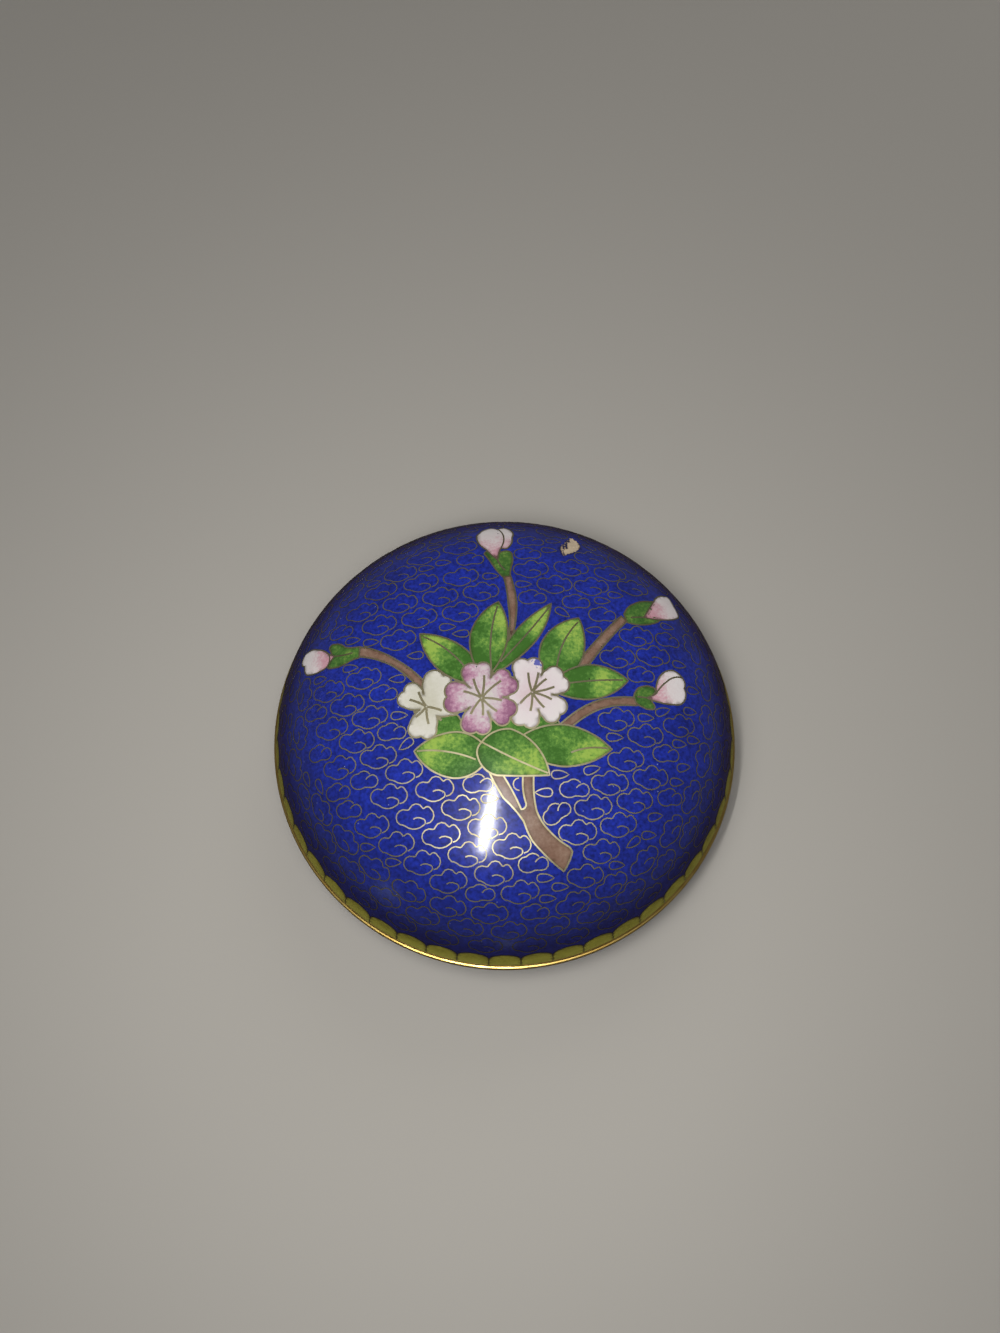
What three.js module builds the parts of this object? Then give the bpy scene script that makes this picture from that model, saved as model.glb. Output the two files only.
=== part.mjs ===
// Round cloisonne enamel box: an enamelled lid that lifts off an enamelled bowl.
// Millimetres, +Z up. Origin: centre of the foot ring's underside. The front of the
// pattern faces -Y.
//
// Both shells are spun copper under enamel. Each has a crown, an arc about the axis, and
// a shoulder, a tighter arc that runs on from the crown without a kink and turns almost
// straight down to the mouth. The two mouths are bound with gilt brass bands. The lower
// band carries an upright collar, which keeps the loose lid in place.

import * as THREE from 'three';

// Driving dimensions
const SEGMENTS = 64; // round the axis
const SAGITTA = 0.07; // how far a facet may lie inside a shell's true curve
const MOUTH_RADIUS = 50; // lid's outside radius on the seam
const WALL = 2; // copper and the enamel on both its sides
const SHOULDER_RADIUS = 26; // outside radius of both shoulders
const SIDE_SLOPE = THREE.MathUtils.degToRad(82); // slope of both sides where they meet the seam
const LID_CROWN_RADIUS = 118;
const BASE_CROWN_RADIUS = 400; // the bowl's bottom is nearly flat

const LID_BAND_HEIGHT = 1.3;
const BASE_BAND_HEIGHT = 1.4;
const BASE_BAND_STEP = 0.5; // how far the lower band stands out past the lid
const BAND_THICKNESS = 2.7; // of the lid's band, inwards from its outside
const BAND_ROUNDING = 0.28; // bevel on the bands' outer edges

const COLLAR_HEIGHT = 3; // above the seam
const COLLAR_THICKNESS = 0.9;
const COLLAR_CLEARANCE = 0.5; // between the collar and the lid's band

const FOOT_HEIGHT = 2.2; // from the table to the middle of the bowl's underside
const FOOT_INNER_TURN = THREE.MathUtils.degToRad(7); // the bowl's slope where the foot begins
const FOOT_OUTER_TURN = THREE.MathUtils.degToRad(11); // and where it ends
const FOOT_ROUNDING = 0.3;

// A shell's profile, from its crown's middle (turn 0) to its mouth. A point is found by
// its turn, the angle between the shell's skin there and the crown's middle. Depth is
// measured from the outside of the crown's middle towards the mouth.
function shellProfile(crownRadius, mouthRadius) {
  const joinSine =
    (mouthRadius - SHOULDER_RADIUS * Math.sin(SIDE_SLOPE)) / (crownRadius - SHOULDER_RADIUS);
  const joinTurn = Math.asin(joinSine);
  const shoulderOut = (crownRadius - SHOULDER_RADIUS) * joinSine;
  const shoulderDepth = crownRadius - (crownRadius - SHOULDER_RADIUS) * Math.cos(joinTurn);

  // inset moves the point inwards through the wall
  function point(turn, inset = 0) {
    if (turn <= joinTurn) {
      const r = crownRadius - inset;
      return { radius: r * Math.sin(turn), depth: crownRadius - r * Math.cos(turn) };
    }
    const r = SHOULDER_RADIUS - inset;
    return {
      radius: shoulderOut + r * Math.sin(turn),
      depth: shoulderDepth - r * Math.cos(turn),
    };
  }

  // the turn at which the skin, at this inset, reaches a depth on the shoulder
  function turnAtDepth(depth, inset = 0) {
    return Math.acos((shoulderDepth - depth) / (SHOULDER_RADIUS - inset));
  }

  // turns from one station to the next, as far apart as SAGITTA allows on each arc
  function turnsThrough(stations) {
    const turns = [stations[0]];
    for (let i = 1; i < stations.length; i++) {
      const span = stations[i] - stations[i - 1];
      const radius = stations[i] <= joinTurn ? crownRadius : SHOULDER_RADIUS;
      const steps = Math.ceil(span / (2 * Math.acos(1 - SAGITTA / radius)));
      for (let k = 1; k <= steps; k++) turns.push(stations[i - 1] + (span * k) / steps);
    }
    return turns;
  }

  return { joinTurn, point, turnAtDepth, turnsThrough, depth: point(SIDE_SLOPE).depth };
}

// Spins a closed [radius, height] profile about +Z.
function spun(profile, closed) {
  const points = profile.map(([radius, height]) => new THREE.Vector2(radius, height));
  if (closed) points.push(points[0].clone());
  const geometry = new THREE.LatheGeometry(points, SEGMENTS);
  geometry.rotateX(Math.PI / 2);
  return geometry;
}

// A shell of true wall thickness. Its mouth is cut level at mouthDepth; up is +1 for the
// lid, whose crown is at the top, and -1 for the bowl.
function shellGeometry(shell, crownHeight, mouthDepth, stations, up) {
  const place = ({ radius, depth }) => [radius, crownHeight - up * depth];
  const outerEnd = shell.turnAtDepth(mouthDepth);
  const innerEnd = shell.turnAtDepth(mouthDepth, WALL);
  const outer = shell.turnsThrough([0, ...stations, outerEnd])
    .map((turn) => place(shell.point(turn)));
  const inner = shell.turnsThrough([0, shell.joinTurn, innerEnd])
    .map((turn) => place(shell.point(turn, WALL)));
  const profile = [...outer, ...inner.reverse()];
  return spun(up > 0 ? profile.reverse() : profile, false);
}

const lidShell = shellProfile(LID_CROWN_RADIUS, MOUTH_RADIUS);
const baseShell = shellProfile(BASE_CROWN_RADIUS, MOUTH_RADIUS);

const BOWL_TOP = FOOT_HEIGHT + baseShell.depth;
const SEAM = BOWL_TOP + BASE_BAND_HEIGHT;
const LID_TOP = SEAM + lidShell.depth;

const enamel = new THREE.MeshStandardMaterial({ color: 0x14207e, roughness: 0.2, metalness: 0 });
const giltBrass = new THREE.MeshStandardMaterial({
  color: 0xc49a4e,
  roughness: 0.32,
  metalness: 1,
});

function named(name, geometry, material) {
  const mesh = new THREE.Mesh(geometry, material);
  mesh.name = name;
  return mesh;
}

// The lid's shell stops on its brass band.
function lidDome() {
  const mouthDepth = lidShell.depth - LID_BAND_HEIGHT;
  const stations = [lidShell.joinTurn];
  return named('lid_dome', shellGeometry(lidShell, LID_TOP, mouthDepth, stations, 1), enamel);
}

// Brass band round the lid's mouth, which rests on the lower band.
function lidRim() {
  const inside = MOUTH_RADIUS - BAND_THICKNESS;
  const top = SEAM + LID_BAND_HEIGHT;
  const shoulder = MOUTH_RADIUS - BAND_ROUNDING;
  const profile = [
    [inside, SEAM],
    [shoulder, SEAM],
    [MOUTH_RADIUS, SEAM + BAND_ROUNDING],
    [MOUTH_RADIUS, top - BAND_ROUNDING],
    [shoulder, top],
    [inside, top],
  ];
  return named('lid_rim', spun(profile, true), giltBrass);
}

// The bowl's shell, with a ring of its underside shaped to the foot.
function baseBowl() {
  const stations = [baseShell.joinTurn, FOOT_INNER_TURN, FOOT_OUTER_TURN];
  const geometry = shellGeometry(baseShell, FOOT_HEIGHT, baseShell.depth, stations, -1);
  return named('base_bowl', geometry, enamel);
}

// Brass band on the bowl's mouth, with the collar that stands up inside the lid.
function baseRim() {
  const outside = MOUTH_RADIUS + BASE_BAND_STEP;
  const collarOutside = MOUTH_RADIUS - BAND_THICKNESS - COLLAR_CLEARANCE;
  const collarInside = collarOutside - COLLAR_THICKNESS;
  const collarTop = SEAM + COLLAR_HEIGHT;
  const edge = COLLAR_THICKNESS / 3;
  const ledge = COLLAR_THICKNESS + edge; // the band slopes in to meet the collar
  const profile = [
    [collarInside + ledge, BOWL_TOP],
    [outside - BAND_ROUNDING, BOWL_TOP],
    [outside, BOWL_TOP + BAND_ROUNDING],
    [outside, SEAM - BAND_ROUNDING],
    [outside - BAND_ROUNDING, SEAM],
    [collarOutside, SEAM],
    [collarOutside, collarTop - edge],
    [collarOutside - edge, collarTop],
    [collarInside, collarTop],
    [collarInside, SEAM - edge],
  ];
  return named('base_rim', spun(profile, true), giltBrass);
}

// Brass foot ring, soldered to the bowl's underside, which its top follows.
function footRing() {
  const inner = baseShell.point(FOOT_INNER_TURN);
  const outer = baseShell.point(FOOT_OUTER_TURN);
  const profile = [
    [inner.radius, 0],
    [outer.radius - FOOT_ROUNDING, 0],
    [outer.radius, FOOT_ROUNDING],
    [outer.radius, FOOT_HEIGHT + outer.depth],
    [inner.radius, FOOT_HEIGHT + inner.depth],
  ];
  return named('foot_ring', spun(profile, true), giltBrass);
}

const box = new THREE.Group();
box.add(lidDome(), lidRim(), baseBowl(), baseRim(), footRing());

export default box;
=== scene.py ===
# A round cloisonne enamel box: a lid and a bowl of spun copper under wired enamel, bound
# with gilt brass. The lid is loose. The scene is in metres; drawings are in millimetres.
import math
import random

import bpy
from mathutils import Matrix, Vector
from mathutils.geometry import delaunay_2d_cdt


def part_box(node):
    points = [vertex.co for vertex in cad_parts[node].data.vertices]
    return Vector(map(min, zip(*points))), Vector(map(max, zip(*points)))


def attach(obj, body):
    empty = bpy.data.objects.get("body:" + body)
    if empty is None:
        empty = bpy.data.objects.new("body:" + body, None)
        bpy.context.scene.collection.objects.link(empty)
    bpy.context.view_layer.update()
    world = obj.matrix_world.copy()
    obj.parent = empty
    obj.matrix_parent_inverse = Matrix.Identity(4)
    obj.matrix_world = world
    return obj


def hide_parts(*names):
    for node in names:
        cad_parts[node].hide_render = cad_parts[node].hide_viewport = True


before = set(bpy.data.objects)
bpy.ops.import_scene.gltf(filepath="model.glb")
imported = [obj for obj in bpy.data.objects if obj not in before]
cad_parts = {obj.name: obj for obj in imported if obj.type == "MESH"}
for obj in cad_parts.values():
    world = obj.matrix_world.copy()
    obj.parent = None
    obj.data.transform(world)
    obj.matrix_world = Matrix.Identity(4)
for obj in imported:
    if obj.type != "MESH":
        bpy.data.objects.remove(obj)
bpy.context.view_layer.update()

# ------------------------------------------------------------------ the lid's body
# A sheet of copper spun over a chuck: a shallow crown that runs on into a tight shoulder. It
# has cobalt enamel outside, ground and polished on a lathe, and turquoise counter-enamel
# inside, which keeps the outer coat from pulling the copper out of shape.

MM = 0.001
MOUTH_RADIUS = 50.0
SHOULDER_RADIUS = 26.0
SIDE_SLOPE = math.radians(82)
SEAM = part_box("lid_rim")[0].z / MM
PROUD = 0.03  # the wires stand this far out of the ground enamel
OUTER_COAT = 0.7
COPPER = 0.8
LINING = 0.47  # these and the wires' height make up the wall of 2 mm


def shell_form(crown_radius, crown_height, side):
    """A shell's sizes; side is 1 for the lid, whose crown is on top, and -1 for the bowl."""
    centre_gap = crown_radius - SHOULDER_RADIUS
    join_sine = (MOUTH_RADIUS - SHOULDER_RADIUS * math.sin(SIDE_SLOPE)) / centre_gap
    join_turn = math.asin(join_sine)
    return {
        "Crown radius": crown_radius,
        "Shoulder radius": SHOULDER_RADIUS,
        "Join turn": join_turn,
        "Shoulder out": centre_gap * join_sine,
        "Shoulder depth": crown_radius - centre_gap * math.cos(join_turn),
        "Crown height": crown_height,
        "Side": side,
    }


LID = shell_form(118.0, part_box("lid_dome")[1].z / MM, 1.0)
lid_depth = LID["Crown height"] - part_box("lid_dome")[0].z / MM


def along_skin(form, depth, lift=0.0):
    """Distance from the crown's middle, along the skin, where it is this deep."""
    radius = form["Shoulder radius"] + lift - PROUD
    turn = math.acos((form["Shoulder depth"] - depth) / radius)
    on_crown = form["Crown radius"] * form["Join turn"]
    return on_crown + form["Shoulder radius"] * (turn - form["Join turn"])


def new_mesh(name, verts, edges=(), faces=(), **attributes):
    """A mesh; each attribute is a number for each of its points."""
    mesh = bpy.data.meshes.new(name)
    mesh.from_pydata(verts, edges, faces)
    for title, numbers in attributes.items():
        mesh.attributes.new(title, "FLOAT", "POINT").data.foreach_set("value", numbers)
    return mesh


def polar(angle, out=1.0):
    """The point at an angle and a distance from the middle."""
    return out * math.cos(angle), out * math.sin(angle)


def flat_disc(inner, outer_top, outer_bottom, top, bottom, rings, around=192):
    """A flat closed disc, or a washer, of even rings, for a shell to be laid from."""
    verts, faces = [], []
    start = 1 if inner == 0 else 0

    def layer(outer, height):
        first = len(verts)
        if start:
            verts.append((0, 0, height))
        for k in range(start, rings + 1):
            out = inner + (outer - inner) * k / rings
            for i in range(around):
                verts.append((*polar(math.tau * i / around, out), height))
        return first

    upper, lower = layer(outer_top, top), layer(outer_bottom, bottom)
    for i in range(around):
        j = (i + 1) % around
        for first, flip in ((upper, 1), (lower, -1)):
            ring = first + start
            if start:
                faces.append((first, ring + i, ring + j)[::flip])
            for k in range(rings - start):
                a = ring + k * around
                faces.append((a + i, a + around + i, a + around + j, a + j)[::flip])
        rim = start + (rings - start) * around
        faces.append((lower + rim + i, lower + rim + j, upper + rim + j, upper + rim + i))
        if not start:
            faces.append((upper + i, upper + j, lower + j, lower + i))
    return new_mesh("flat_disc", verts, faces=faces)


def put(tree, kind, *inputs, at=None, **settings):
    """Adds a node; a kind without Node in it is a shader node's. Its inputs, in order or, in
    at, by name or number, are values, output sockets, or nodes, for their first output. The
    setting stops gives a colour ramp's places and colours."""
    node = tree.nodes.new(kind if "Node" in kind else "ShaderNode" + kind)
    for name, value in settings.items():
        if name != "stops":
            setattr(node, name, value)
            continue
        bar = node.color_ramp.elements
        for k, (place, colour) in enumerate(value):
            stop = bar[k] if k < 2 else bar.new(place)
            stop.position, stop.color = place, colour
    for key, value in {**dict(enumerate(inputs)), **(at or {})}.items():
        if isinstance(value, bpy.types.Node):
            value = value.outputs[0]
        if isinstance(value, bpy.types.NodeSocket):
            tree.links.new(value, node.inputs[key])
        else:
            node.inputs[key].default_value = value
    return node


def new_tree(name, inputs):
    """A geometry tree with a geometry in and out and these named inputs besides."""
    tree = bpy.data.node_groups.new(name, "GeometryNodeTree")
    tree.interface.new_socket("Geometry", in_out="INPUT", socket_type="NodeSocketGeometry")
    for title, kind in inputs.items():
        tree.interface.new_socket(title, in_out="INPUT", socket_type="NodeSocket" + kind)
    tree.interface.new_socket("Geometry", in_out="OUTPUT", socket_type="NodeSocketGeometry")
    return tree, put(tree, "NodeGroupInput")


FORM_INPUTS = {title: "Float" for title in LID}
PIECE_INPUTS = {**FORM_INPUTS, "Material": "Material"}


def build_lay_group():
    """Node group that lays what is drawn flat, in millimetres, on a shell, in metres. As with
    the maker's paper, a point keeps its distance from the middle along the skin."""
    tree, given = new_tree("lay_on_shell", FORM_INPUTS)
    size = given.outputs
    drawn = put(tree, "SeparateXYZ", put(tree, "GeometryNodeInputPosition"))
    flat = put(tree, "CombineXYZ", drawn.outputs[0], drawn.outputs[1])
    way = put(tree, "VectorMath", flat, operation="NORMALIZE")
    out = put(tree, "VectorMath", flat, operation="LENGTH").outputs["Value"]
    crown = put(tree, "Math", size["Crown radius"], size["Join turn"], operation="MULTIPLY")
    on_crown = put(tree, "Math", out, crown, operation="MINIMUM")
    on_shoulder = put(tree, "Math", out, on_crown, operation="SUBTRACT")
    crown_turn = put(tree, "Math", on_crown, size["Crown radius"], operation="DIVIDE")
    shoulder_turn = put(tree, "Math", on_shoulder, size["Shoulder radius"], operation="DIVIDE")
    turn = put(tree, "Math", crown_turn, shoulder_turn, operation="ADD")
    past = put(tree, "Math", out, crown, operation="GREATER_THAN")
    bend = put(tree, "Mix", past, at={2: size["Crown radius"], 3: size["Shoulder radius"]})
    centre_out = put(tree, "Math", size["Shoulder out"], past, operation="MULTIPLY")
    centre_depth = put(tree, "Mix", past,
                       at={2: size["Crown radius"], 3: size["Shoulder depth"]})
    lift = put(tree, "Math", drawn.outputs[2], PROUD, operation="SUBTRACT")
    arm = put(tree, "Math", bend, lift, operation="ADD")
    sine = put(tree, "Math", turn, operation="SINE")
    cosine = put(tree, "Math", turn, operation="COSINE")
    radius = put(tree, "Math", arm, sine, centre_out, operation="MULTIPLY_ADD")
    fall = put(tree, "Math", arm, cosine, operation="MULTIPLY")
    depth = put(tree, "Math", centre_depth, fall, operation="SUBTRACT")
    drop = put(tree, "Math", depth, size["Side"], operation="MULTIPLY")
    height = put(tree, "Math", size["Crown height"], drop, operation="SUBTRACT")
    spoke = put(tree, "SeparateXYZ",
                put(tree, "VectorMath", way, at={"Scale": radius}, operation="SCALE"))
    across = put(tree, "Math", spoke.outputs[0], size["Side"], operation="MULTIPLY")
    laid = put(tree, "CombineXYZ", across, spoke.outputs[1], height)
    metres = put(tree, "VectorMath", laid, at={"Scale": MM}, operation="SCALE")
    moved = put(tree, "GeometryNodeSetPosition", size["Geometry"], at={"Position": metres})
    put(tree, "NodeGroupOutput", moved)
    return tree


lay_group = build_lay_group()


def laid_on(tree, given, source):
    """In another tree: source laid on the shell that the tree's form inputs give."""
    form = {title: given.outputs[title] for title in LID}
    return put(tree, "GeometryNodeGroup", source, at=form, node_tree=lay_group)


def end_tree(tree, given, shape):
    """Ends a tree with shape as plain mesh in the material that is given."""
    real = put(tree, "GeometryNodeRealizeInstances", shape)
    done = put(tree, "GeometryNodeSetMaterial", real,
               at={"Material": given.outputs["Material"]})
    put(tree, "NodeGroupOutput", done)
    return tree


def build_body_tree():
    """Lays a closed body of enamel or copper on a shell."""
    tree, given = new_tree("body_on_shell", PIECE_INPUTS)
    return end_tree(tree, given, laid_on(tree, given, given.outputs[0]))


body_tree = build_body_tree()


def made(name, source, tree, sizes, crease=30):
    """Runs a tree on a mesh and keeps its result as a plain mesh object."""
    piece = bpy.data.objects.new(name, source)
    bpy.context.scene.collection.objects.link(piece)
    make = piece.modifiers.new("make", "NODES")
    make.node_group = tree
    for item in tree.interface.items_tree:
        if item.in_out == "INPUT" and item.name in sizes:
            make[item.identifier] = sizes[item.name]
    keep_result(piece)
    piece.data.shade_smooth()
    piece.data.set_sharp_from_angle(angle=math.radians(crease))
    return piece


def keep_result(piece):
    """Turns what a piece's modifiers give into its own plain mesh, and removes them."""
    view = bpy.context.evaluated_depsgraph_get()
    result = bpy.data.meshes.new_from_object(piece.evaluated_get(view), depsgraph=view)
    piece.modifiers.clear()
    piece.data = result
    result.name = piece.name


def linear(code):
    """An sRGB hex colour as the renderer's linear one."""
    parts = [int(code[i:i + 2], 16) / 255 for i in (1, 3, 5)]
    return tuple(c / 12.92 if c <= 0.04045 else ((c + 0.055) / 1.055) ** 2.4
                 for c in parts) + (1.0,)


def new_material(name):
    material = bpy.data.materials.new(name)
    material.use_nodes = True
    material.node_tree.nodes.clear()
    return material, material.node_tree


def painted_seam_shade(tree, place, colour, deep, most):
    """Painted shade: a colour that goes over to a deeper one, most of the way, down
    towards the seam, where the shell turns away from the light.
    """
    starts, ends = 21 * MM, 9 * MM  # from the seam
    height = put(tree, "SeparateXYZ", place).outputs[2]
    above = put(tree, "Math", height, SEAM * MM, operation="SUBTRACT")
    off = put(tree, "Math", above, operation="ABSOLUTE")
    share = put(tree, "MapRange", off, starts, ends, 0.0, most)
    return put(tree, "Mix", share, at={6: colour, 7: linear(deep)}, data_type="RGBA").outputs[2]


def specked(tree, place, colour, pitch, size, speck):
    """A colour with rare specks of another; size is a share of the pitch of the places that
    a speck may take, which is in millimetres."""
    spots = put(tree, "TexVoronoi", at={"Vector": place, "Scale": 1 / (pitch * MM)})
    pick = put(tree, "SeparateColor", spots.outputs["Color"])
    rare = put(tree, "Math", pick, 0.9, operation="GREATER_THAN")
    small = put(tree, "Math", spots.outputs["Distance"], size, operation="LESS_THAN")
    dot = put(tree, "Math", rare, small, operation="MULTIPLY")
    return put(tree, "Mix", dot, at={6: colour, 7: linear(speck)}, data_type="RGBA").outputs[2]


# two dull smears by the front edge, where the polish is scuffed: (x, y, z), reach
SMEARS = [((-23.1, -37.0, 40.4), 4.0), ((0.4, -46.4, 36.8), 3.0)]


def cobalt_enamel():
    # opaque cobalt-blue enamel: glassy, ground and lathe-polished, with slight clouding in
    # the blue and a dust of pale specks; it is painted navy down by the seam, as shade where
    # the steep shoulder turns away from the light
    material, tree = new_material("cobalt_enamel")
    place = put(tree, "TexCoord").outputs["Object"]
    clouding = put(tree, "TexNoise", at={"Vector": place, "Scale": 1 / (7 * MM), "Detail": 4.0})
    blue = put(tree, "ValToRGB", clouding,
               stops=[(0.3, linear("#182788")), (0.7, linear("#1d30a2"))])
    grain = put(tree, "TexNoise", at={"Vector": place, "Scale": 1 / (0.7 * MM), "Detail": 3.0})
    crisp = put(tree, "MapRange", grain, 0.3, 0.7)
    grained = put(tree, "Mix", 0.45, at={6: blue, 7: crisp}, data_type="RGBA",
                  blend_type="OVERLAY")
    soiled = specked(tree, place, grained.outputs[2], 1.5, 0.08, "#8b98c4")
    rough = put(tree, "MapRange", grain, at={3: 0.11, 4: 0.18})
    streaks = put(tree, "TexNoise", at={"Vector": place, "Scale": 1 / (1.2 * MM), "Detail": 4.0})
    for middle, reach in SMEARS:
        off = put(tree, "VectorMath", place, Vector(middle) * MM, operation="DISTANCE")
        near = put(tree, "MapRange", off.outputs["Value"], reach * MM, 0.0, 0.0, 0.7)
        smear = put(tree, "Math", near, streaks, operation="MULTIPLY", use_clamp=True)
        soiled = put(tree, "Mix", smear, at={6: soiled, 7: linear("#6c7aa8")},
                     data_type="RGBA").outputs[2]
        rough = put(tree, "Math", smear, 0.6, rough, operation="MULTIPLY_ADD")
    skin = put(tree, "TexNoise", at={"Vector": place, "Scale": 1 / (1.8 * MM), "Detail": 2.0})
    dimples = put(tree, "Bump", at={"Strength": 0.25, "Distance": 0.02 * MM, "Height": skin})
    lathe = put(tree, "Tangent", direction_type="RADIAL", axis="Z")
    # the base colour carries painted shade: navy down by the seam
    shader = put(tree, "BsdfPrincipled", at={
        "Base Color": painted_seam_shade(tree, place, soiled, "#0a0c30", 0.72), "Roughness": rough,
        "IOR": 1.55, "Anisotropic": 0.8, "Anisotropic Rotation": 0.25, "Tangent": lathe,
        "Normal": dimples, "Coat Weight": 0.3, "Coat Roughness": 0.35})
    put(tree, "OutputMaterial", shader)
    return material


def opaque_enamel(name, tones, grain, mottle, edge="#3a2a1c", stain=None):
    # opaque enamel: frit packed wet into its cell and fired, so that grains of two shades
    # show, with a dark pinhole here and there; attribute paint runs from the first tone to
    # the last, and attribute rim marks the fill against its wire, where edge darkens it as
    # painted shade in the corner and as dirt; stain is the place and radius of a ragged spot
    # of stray cobalt
    material, tree = new_material(name)
    place = put(tree, "TexCoord").outputs["Object"]
    paint = put(tree, "Attribute", attribute_name="paint").outputs["Fac"]
    frit = put(tree, "TexNoise", at={"Vector": place, "Scale": 1 / (grain * MM), "Detail": 3.0,
                                     "Roughness": 0.65})
    cloud = put(tree, "TexNoise",
                at={"Vector": place, "Scale": 1 / (grain * 6 * MM), "Detail": 2.0})
    both = put(tree, "Math", frit, cloud, operation="ADD")
    around_zero = put(tree, "Math", both, 1.0, operation="SUBTRACT")
    shade = put(tree, "Math", around_zero, mottle, paint, operation="MULTIPLY_ADD")
    packed = put(tree, "ValToRGB", shade, stops=[
        (k / (len(tones) - 1), linear(tone)) for k, tone in enumerate(tones)])
    # painted shade and dirt: the fill darkens towards edge against its wire
    rim = put(tree, "Attribute", attribute_name="rim").outputs["Fac"]
    rim_shade_falloff = put(tree, "Math", rim, 1.6, operation="POWER")
    rimmed = put(tree, "Math", rim_shade_falloff, 0.75, operation="MULTIPLY")
    rim_shaded = put(tree, "Mix", rimmed, at={6: packed, 7: linear(edge)}, data_type="RGBA")
    colour = specked(tree, place, rim_shaded.outputs[2], 1.4, 0.1, "#2b2620")
    if stain:
        x, y, radius = stain
        flat = put(tree, "VectorMath", place, (1.0, 1.0, 0.0), operation="MULTIPLY")
        off = put(tree, "VectorMath", flat, (x * MM, y * MM, 0.0), operation="DISTANCE")
        ragged = put(tree, "Math", frit, 3.2 * MM, off.outputs["Value"],
                     operation="MULTIPLY_ADD")
        stained = put(tree, "MapRange", ragged, (radius + 1.45) * MM, (radius + 1.2) * MM,
                      0.0, 0.85)
        colour = put(tree, "Mix", stained, at={6: colour, 7: linear("#2a3fae")},
                     data_type="RGBA").outputs[2]
    gloss = put(tree, "MapRange", frit, at={3: 0.16, 4: 0.28})
    pits = put(tree, "Bump", at={"Strength": 0.3, "Distance": 0.03 * MM, "Height": frit})
    shader = put(tree, "BsdfPrincipled", at={
        "Base Color": colour, "Roughness": gloss, "IOR": 1.52, "Normal": pits})
    put(tree, "OutputMaterial", shader)
    return material


def bright_metal(name, fresh, dull, roughness, marks, seam_shade_share=0.0):
    # gilt or bare metal turned on a lathe: fine marks round the axis, bright where it is
    # handled and duller in patches; marks is the marks' pitch, and the last argument how far
    # painted shade browns the metal down by the seam; attribute wall marks sides painted
    # near-black as shade beside the enamel
    material, tree = new_material(name)
    place = put(tree, "TexCoord").outputs["Object"]
    xyz = put(tree, "SeparateXYZ", place)
    flat = put(tree, "CombineXYZ", xyz.outputs[0], xyz.outputs[1])
    out = put(tree, "VectorMath", flat, operation="LENGTH").outputs["Value"]
    turned = put(tree, "CombineXYZ", out, at={2: xyz.outputs[2]})
    lines = put(tree, "TexNoise",
                at={"Vector": turned, "Scale": 1 / (marks * MM), "Detail": 2.0})
    patches = put(tree, "TexNoise", at={"Vector": place, "Scale": 1 / (4 * MM), "Detail": 5.0,
                                        "Roughness": 0.6})
    colour = put(tree, "ValToRGB", patches,
                 stops=[(0.4, linear(fresh)), (0.75, linear(dull))]).outputs[0]
    # painted shade: the metal goes over to dark brown down by the seam
    if seam_shade_share:
        colour = painted_seam_shade(tree, place, colour, "#33291c", seam_shade_share)
    # painted shade: the wires' sides are near-black and rough, so they give no glint beside the
    # enamel
    wall = put(tree, "Attribute", attribute_name="wall").outputs["Fac"]
    black = put(tree, "Math", wall, 0.02, operation="GREATER_THAN")
    wall_shaded = put(tree, "Mix", black, at={6: colour, 7: linear("#1c1611")}, data_type="RGBA")
    worn = put(tree, "MapRange", patches, at={3: roughness - 0.06, 4: roughness + 0.16})
    rough = put(tree, "Math", black, worn, operation="MAXIMUM")
    ridges = put(tree, "Bump", at={"Strength": 0.35, "Distance": 0.02 * MM, "Height": lines})
    shader = put(tree, "BsdfPrincipled", at={
        "Base Color": wall_shaded.outputs[2], "Metallic": 1.0, "Roughness": rough, "Normal": ridges})
    put(tree, "OutputMaterial", shader)
    return material


cobalt = cobalt_enamel()
turquoise = opaque_enamel("turquoise_counter_enamel", ["#1f6f86", "#3d9db0", "#5bb3bf"], 0.6, 0.9)
copper = bright_metal("spun_copper", "#b8714c", "#6e3f2c", 0.35, 0.3)


def coat(name, form, depth, top, bottom, material, rings, start=0.0, end=None):
    """One coat of a shell's wall, from the crown's middle or from start, to its mouth."""
    outer_top = along_skin(form, depth, top) if end is None else end
    outer_bottom = along_skin(form, depth, bottom) if end is None else end
    flat = flat_disc(start, outer_top, outer_bottom, top, bottom, rings)
    return made(name, flat, body_tree, {**form, "Material": material})


def settle(piece, slot, *nodes):
    """Fixes a piece to the box, with the CAD nodes it stands for, which it hides; slot is not
    used.
    """
    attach(piece, "root")
    if nodes:
        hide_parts(*nodes)


def lined(name, form, depth):
    """The copper under a shell's enamel, and the counter-enamel inside it."""
    back = -OUTER_COAT - COPPER
    settle(coat(name + "_copper", form, depth, -OUTER_COAT, back, copper, 20), "gilt_brass")
    settle(coat(name + "_lining", form, depth, back, back - LINING, turquoise, 24),
           "turquoise_enamel")


lid_enamel = coat("lid_enamel", LID, lid_depth, 0.0, -OUTER_COAT, cobalt, 48)
lined("lid", LID, lid_depth)

# ------------------------------------------------------------------ blossoms
# Three open plum blossoms in the middle of the lid, each one cell of enamel with its
# notched petals' outline, and loose stamen wires over the fill. The pink one is in front.

# The wire is flat brass, bent with tweezers, stood on edge and soldered to the copper.
# Grinding leaves its top level and bright, a hair above the softer enamel.
WIRE_TOP, WIRE_FOOT = PROUD, -0.08
# its last number is painted shade, which darkens the wires down by the seam
wire_metal = bright_metal("ground_brass_wire", "#dcd2ab", "#b3a87c", 0.45, 0.4, 0.6)


def line_edges(count, closed, first=0):
    return [(first + i, first + (i + 1) % count) for i in range(count if closed else count - 1)]


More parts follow.
